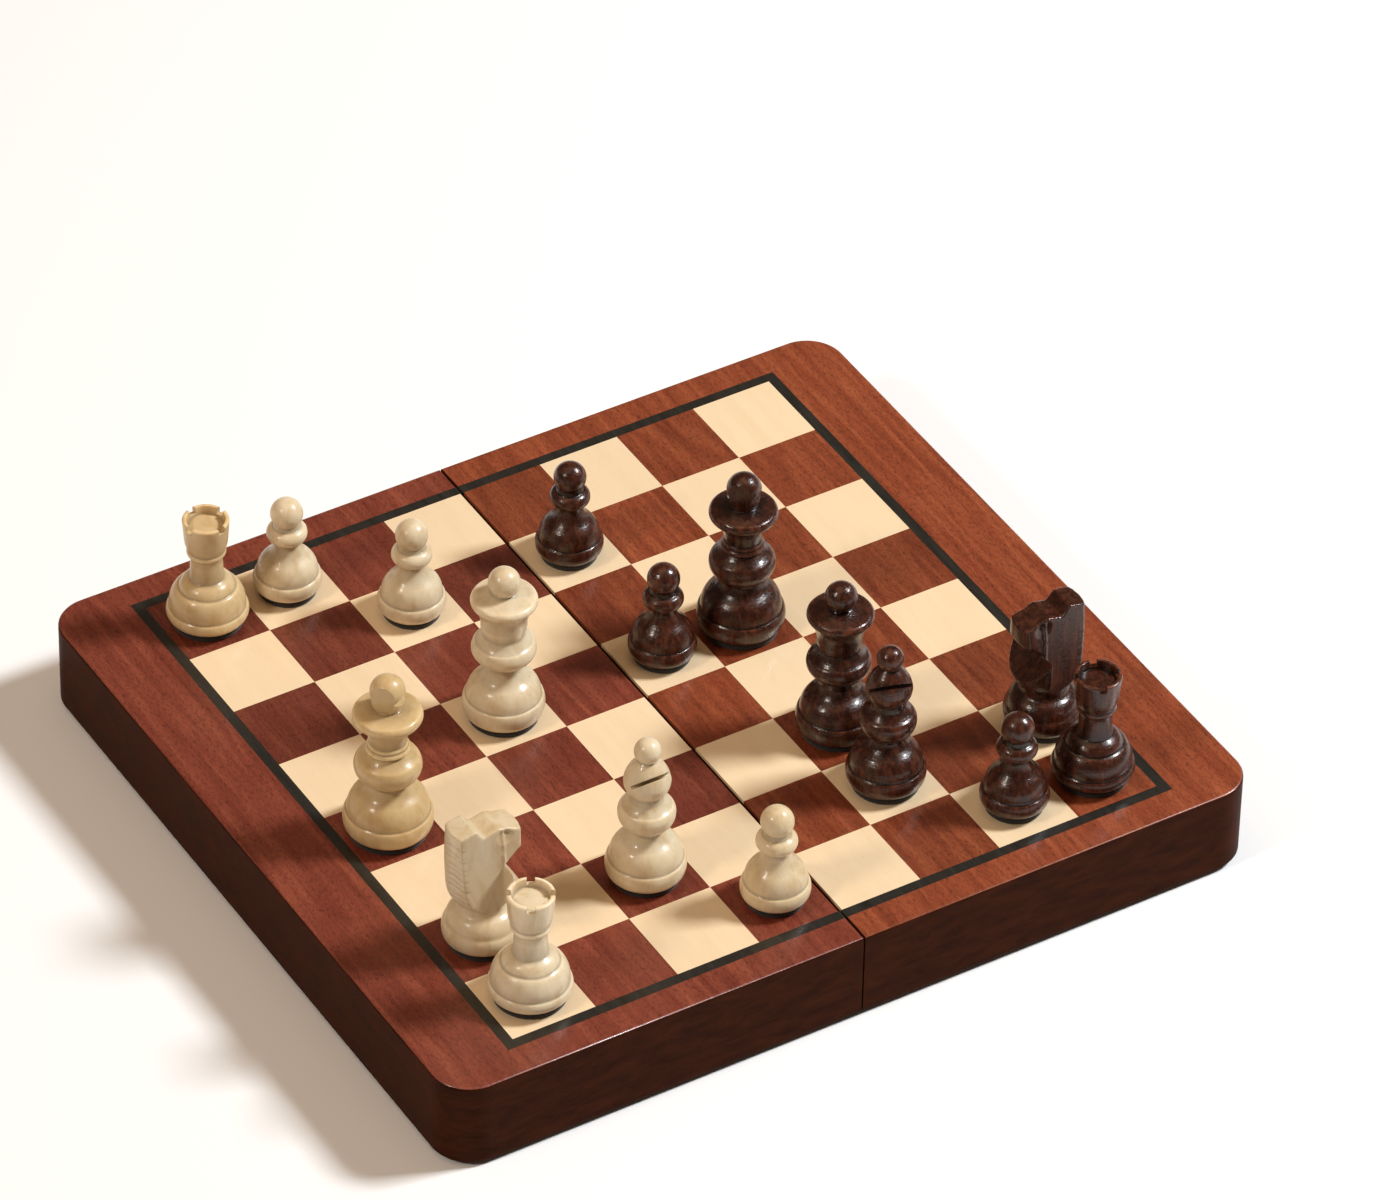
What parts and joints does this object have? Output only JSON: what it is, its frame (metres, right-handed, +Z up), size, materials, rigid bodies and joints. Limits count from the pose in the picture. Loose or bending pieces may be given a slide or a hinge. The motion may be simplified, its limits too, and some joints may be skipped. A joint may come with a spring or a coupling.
{
  "type": "folding magnetic chess set",
  "caption": "Folding wooden travel chess board with turned magnetic men standing mid-game, hinged along the middle to shut into a storage box.",
  "frame": {"origin": "under the middle of the open board, on the surface it stands on", "axes": "+X across the seam from the white side to the black side, +Y along the seam from the h file to the a file, +Z up"},
  "size_m": [0.2, 0.18, 0.0649],
  "materials": {
    "maple": "satin lacquered maple veneer",
    "mahogany": "satin lacquered mahogany veneer",
    "black_line": "black dyed veneer line",
    "stained_wood": "dark stained, satin lacquered solid wood",
    "plywood": "thin birch plywood",
    "flocking": "dark green flocked lining",
    "steel": "thin galvanised steel sheet",
    "brass": "polished brass",
    "magnet": "nickel plated magnet",
    "boxwood": "turned boxwood, satin lacquer",
    "dark_lacquer": "turned wood, dark brown gloss lacquer"
  },
  "bodies": {
    "left_half": {"left_outer_rail": "stained_wood", "left_seam_rail": "stained_wood", "left_end_rails": "stained_wood", "left_deck": "plywood", "left_steel_sheet": "steel", "left_light_squares": "maple", "left_dark_squares": "mahogany", "left_border_strips": "mahogany", "left_inlay_line": "black_line", "left_storage_tray": "flocking", "left_hinge_leaves": "brass", "left_hinge_screws": "brass", "left_rim_magnets": "magnet", "hinge_pins": "brass"},
    "right_half": {"right_outer_rail": "stained_wood", "right_seam_rail": "stained_wood", "right_end_rails": "stained_wood", "right_deck": "plywood", "right_steel_sheet": "steel", "right_light_squares": "maple", "right_dark_squares": "mahogany", "right_border_strips": "mahogany", "right_inlay_line": "black_line", "right_storage_tray": "flocking", "right_hinge_leaves": "brass", "right_hinge_screws": "brass", "right_rim_magnets": "magnet"},
    "white_rook_h_man": {"white_rook_h": "boxwood"},
    "white_knight_g_man": {"white_knight_g": "boxwood"},
    "white_bishop_f_man": {"white_bishop_f": "boxwood"},
    "white_king_man": {"white_king": "boxwood"},
    "white_queen_man": {"white_queen": "boxwood"},
    "white_bishop_c_man": {"white_bishop_c": "boxwood"},
    "white_knight_b_man": {"white_knight_b": "boxwood"},
    "white_rook_a_man": {"white_rook_a": "boxwood"},
    "white_pawn_h_man": {"white_pawn_h": "boxwood"},
    "white_pawn_g_man": {"white_pawn_g": "boxwood"},
    "white_pawn_f_man": {"white_pawn_f": "boxwood"},
    "white_pawn_e_man": {"white_pawn_e": "boxwood"},
    "white_pawn_d_man": {"white_pawn_d": "boxwood"},
    "white_pawn_c_man": {"white_pawn_c": "boxwood"},
    "white_pawn_b_man": {"white_pawn_b": "boxwood"},
    "white_pawn_a_man": {"white_pawn_a": "boxwood"},
    "black_rook_h_man": {"black_rook_h": "dark_lacquer"},
    "black_knight_g_man": {"black_knight_g": "dark_lacquer"},
    "black_bishop_f_man": {"black_bishop_f": "dark_lacquer"},
    "black_king_man": {"black_king": "dark_lacquer"},
    "black_queen_man": {"black_queen": "dark_lacquer"},
    "black_bishop_c_man": {"black_bishop_c": "dark_lacquer"},
    "black_knight_b_man": {"black_knight_b": "dark_lacquer"},
    "black_rook_a_man": {"black_rook_a": "dark_lacquer"},
    "black_pawn_h_man": {"black_pawn_h": "dark_lacquer"},
    "black_pawn_g_man": {"black_pawn_g": "dark_lacquer"},
    "black_pawn_f_man": {"black_pawn_f": "dark_lacquer"},
    "black_pawn_e_man": {"black_pawn_e": "dark_lacquer"},
    "black_pawn_d_man": {"black_pawn_d": "dark_lacquer"},
    "black_pawn_c_man": {"black_pawn_c": "dark_lacquer"},
    "black_pawn_b_man": {"black_pawn_b": "dark_lacquer"},
    "black_pawn_a_man": {"black_pawn_a": "dark_lacquer"}
  },
  "joints": [
    {"name": "board_fold", "type": "hinge", "parent": "left_half", "child": "right_half", "pos_m": [0, 0, 0.0011], "axis": [0, 1, 0], "range_deg": [0, 180]},
    {"name": "lift_white_rook_h", "type": "slide", "parent": "left_half", "child": "white_rook_h_man", "axis": [0, 0, 1], "range_m": [0, 0.06]},
    {"name": "lift_white_knight_g", "type": "slide", "parent": "left_half", "child": "white_knight_g_man", "axis": [0, 0, 1], "range_m": [0, 0.06]},
    {"name": "lift_white_bishop_f", "type": "slide", "parent": "left_half", "child": "white_bishop_f_man", "axis": [0, 0, 1], "range_m": [0, 0.06]},
    {"name": "lift_white_king", "type": "slide", "parent": "left_half", "child": "white_king_man", "axis": [0, 0, 1], "range_m": [0, 0.06]},
    {"name": "lift_white_queen", "type": "slide", "parent": "left_half", "child": "white_queen_man", "axis": [0, 0, 1], "range_m": [0, 0.06]},
    {"name": "lift_white_bishop_c", "type": "slide", "parent": "left_half", "child": "white_bishop_c_man", "axis": [0, 0, 1], "range_m": [-0.05, 0]},
    {"name": "lift_white_knight_b", "type": "slide", "parent": "left_half", "child": "white_knight_b_man", "axis": [0, 0, 1], "range_m": [-0.05, 0]},
    {"name": "lift_white_rook_a", "type": "slide", "parent": "left_half", "child": "white_rook_a_man", "axis": [0, 0, 1], "range_m": [0, 0.06]},
    {"name": "lift_white_pawn_h", "type": "slide", "parent": "left_half", "child": "white_pawn_h_man", "axis": [0, 0, 1], "range_m": [0, 0.06]},
    {"name": "lift_white_pawn_g", "type": "slide", "parent": "left_half", "child": "white_pawn_g_man", "axis": [0, 0, 1], "range_m": [-0.05, 0]},
    {"name": "lift_white_pawn_f", "type": "slide", "parent": "left_half", "child": "white_pawn_f_man", "axis": [0, 0, 1], "range_m": [-0.05, 0]},
    {"name": "lift_white_pawn_e", "type": "slide", "parent": "left_half", "child": "white_pawn_e_man", "axis": [0, 0, 1], "range_m": [-0.05, 0]},
    {"name": "lift_white_pawn_d", "type": "slide", "parent": "left_half", "child": "white_pawn_d_man", "axis": [0, 0, 1], "range_m": [-0.05, 0]},
    {"name": "lift_white_pawn_c", "type": "slide", "parent": "left_half", "child": "white_pawn_c_man", "axis": [0, 0, 1], "range_m": [-0.05, 0]},
    {"name": "lift_white_pawn_b", "type": "slide", "parent": "left_half", "child": "white_pawn_b_man", "axis": [0, 0, 1], "range_m": [0, 0.06]},
    {"name": "lift_white_pawn_a", "type": "slide", "parent": "left_half", "child": "white_pawn_a_man", "axis": [0, 0, 1], "range_m": [0, 0.06]},
    {"name": "lift_black_rook_h", "type": "slide", "parent": "right_half", "child": "black_rook_h_man", "axis": [0, 0, 1], "range_m": [0, 0.06]},
    {"name": "lift_black_knight_g", "type": "slide", "parent": "right_half", "child": "black_knight_g_man", "axis": [0, 0, 1], "range_m": [0, 0.06]},
    {"name": "lift_black_bishop_f", "type": "slide", "parent": "right_half", "child": "black_bishop_f_man", "axis": [0, 0, 1], "range_m": [0, 0.06]},
    {"name": "lift_black_king", "type": "slide", "parent": "right_half", "child": "black_king_man", "axis": [0, 0, 1], "range_m": [0, 0.06]},
    {"name": "lift_black_queen", "type": "slide", "parent": "right_half", "child": "black_queen_man", "axis": [0, 0, 1], "range_m": [0, 0.06]},
    {"name": "lift_black_bishop_c", "type": "slide", "parent": "right_half", "child": "black_bishop_c_man", "axis": [0, 0, 1], "range_m": [-0.05, 0]},
    {"name": "lift_black_knight_b", "type": "slide", "parent": "right_half", "child": "black_knight_b_man", "axis": [0, 0, 1], "range_m": [-0.05, 0]},
    {"name": "lift_black_rook_a", "type": "slide", "parent": "right_half", "child": "black_rook_a_man", "axis": [0, 0, 1], "range_m": [-0.05, 0]},
    {"name": "lift_black_pawn_h", "type": "slide", "parent": "right_half", "child": "black_pawn_h_man", "axis": [0, 0, 1], "range_m": [0, 0.06]},
    {"name": "lift_black_pawn_g", "type": "slide", "parent": "right_half", "child": "black_pawn_g_man", "axis": [0, 0, 1], "range_m": [-0.05, 0]},
    {"name": "lift_black_pawn_f", "type": "slide", "parent": "right_half", "child": "black_pawn_f_man", "axis": [0, 0, 1], "range_m": [-0.05, 0]},
    {"name": "lift_black_pawn_e", "type": "slide", "parent": "right_half", "child": "black_pawn_e_man", "axis": [0, 0, 1], "range_m": [-0.05, 0]},
    {"name": "lift_black_pawn_d", "type": "slide", "parent": "right_half", "child": "black_pawn_d_man", "axis": [0, 0, 1], "range_m": [0, 0.06]},
    {"name": "lift_black_pawn_c", "type": "slide", "parent": "right_half", "child": "black_pawn_c_man", "axis": [0, 0, 1], "range_m": [-0.05, 0]},
    {"name": "lift_black_pawn_b", "type": "slide", "parent": "right_half", "child": "black_pawn_b_man", "axis": [0, 0, 1], "range_m": [0, 0.06]},
    {"name": "lift_black_pawn_a", "type": "slide", "parent": "right_half", "child": "black_pawn_a_man", "axis": [0, 0, 1], "range_m": [-0.05, 0]}
  ]
}
